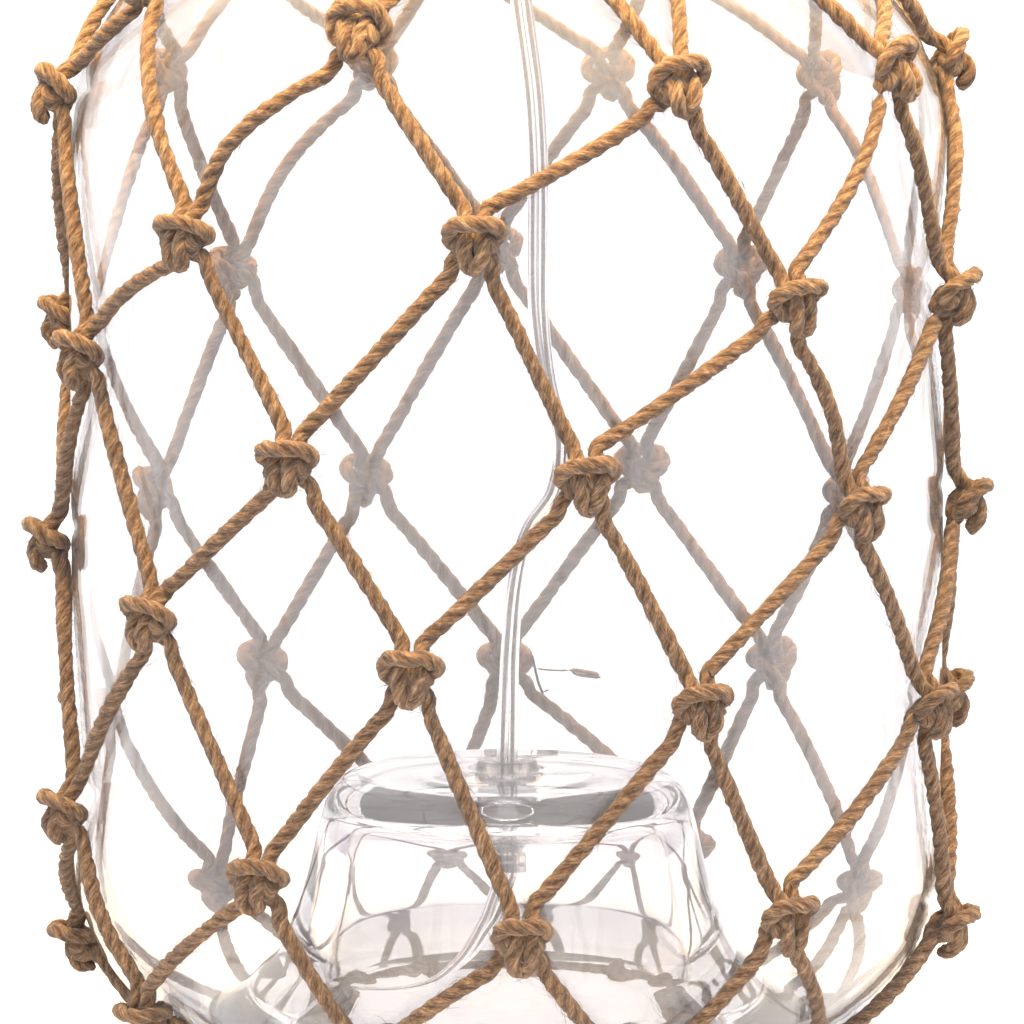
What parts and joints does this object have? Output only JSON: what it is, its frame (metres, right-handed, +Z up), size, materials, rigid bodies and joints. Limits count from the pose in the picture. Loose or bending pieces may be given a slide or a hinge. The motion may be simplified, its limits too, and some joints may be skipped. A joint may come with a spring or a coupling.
{
  "type": "netted glass jar table lamp",
  "caption": "Table lamp with a clear glass jar body in a knotted jute net, flat clear flex inside the jar leaving through the raised base, screw lampholder and bulb on the neck.",
  "frame": {"origin": "on the table, under the jar's axis, at the pressed undersides of the twine the lamp stands on", "axes": "+Z up the jar's axis, -Y towards the front, +X to the right seen from the front"},
  "size_m": [0.3168, 0.2354, 0.4544],
  "materials": {
    "jar_glass": "clear polished soda glass",
    "jute": "twisted three-strand jute twine, hairy and matt",
    "clear_plastic": "clear moulded PVC and nylon",
    "flex": "clear PVC flat twin flex, tinned strands showing through",
    "brass": "brushed and lightly aged",
    "steel": "nickel plated",
    "rubber": "matt",
    "black_plastic": "satin moulded phenolic",
    "porcelain": "glazed porcelain insulator",
    "bulb_glass": "clear thin bulb glass",
    "filament": "warm phosphor filament sticks, lit"
  },
  "bodies": {
    "lamp": {"glass_jar": "jar_glass", "net_round_1": "jute", "net_round_2": "jute", "net_round_3": "jute", "net_round_4": "jute", "net_round_5": "jute", "net_round_6": "jute", "net_foot": "jute", "base_ring": "jute", "neck_ring": "jute", "neck_binding": "jute", "seat_ring": "rubber", "neck_cap": "brass", "cap_screw_1": "brass", "cap_screw_2": "brass", "cap_screw_3": "brass", "nipple": "brass", "cap_washer": "steel", "locknut": "brass", "holder_base": "black_plastic", "terminal_block": "porcelain", "centre_contact": "brass", "screw_shell": "brass", "holder_body": "black_plastic", "exit_bush": "clear_plastic", "flex_clamp": "clear_plastic", "flex_inside": "flex", "flex_tail": "flex", "flex_coil": "flex", "flex_end": "flex", "coil_tie": "black_plastic", "plug_relief": "clear_plastic", "plug_body": "clear_plastic", "plug_pin_left": "steel", "plug_pin_right": "steel"},
    "bulb": {"bulb_base": "steel", "bulb_contact": "steel", "bulb_glass": "bulb_glass", "bulb_stem": "bulb_glass", "bulb_filament": "filament"},
    "shade_ring": {"shade_ring": "black_plastic"},
    "switch": {"switch_bar": "brass"}
  },
  "joints": [
    {"name": "bulb_turn", "type": "hinge", "parent": "lamp", "child": "bulb", "pos_m": [0, 0, 0.36], "axis": [0, 0, 1], "range_deg": [0, 1440]},
    {"name": "shade_ring_turn", "type": "hinge", "parent": "lamp", "child": "shade_ring", "pos_m": [0, 0, 0.355], "axis": [0, 0, 1], "range_deg": [0, 1080]},
    {"name": "switch_slide", "type": "slide", "parent": "lamp", "child": "switch", "axis": [1, 0, 0], "range_m": [0, 0.006]}
  ]
}
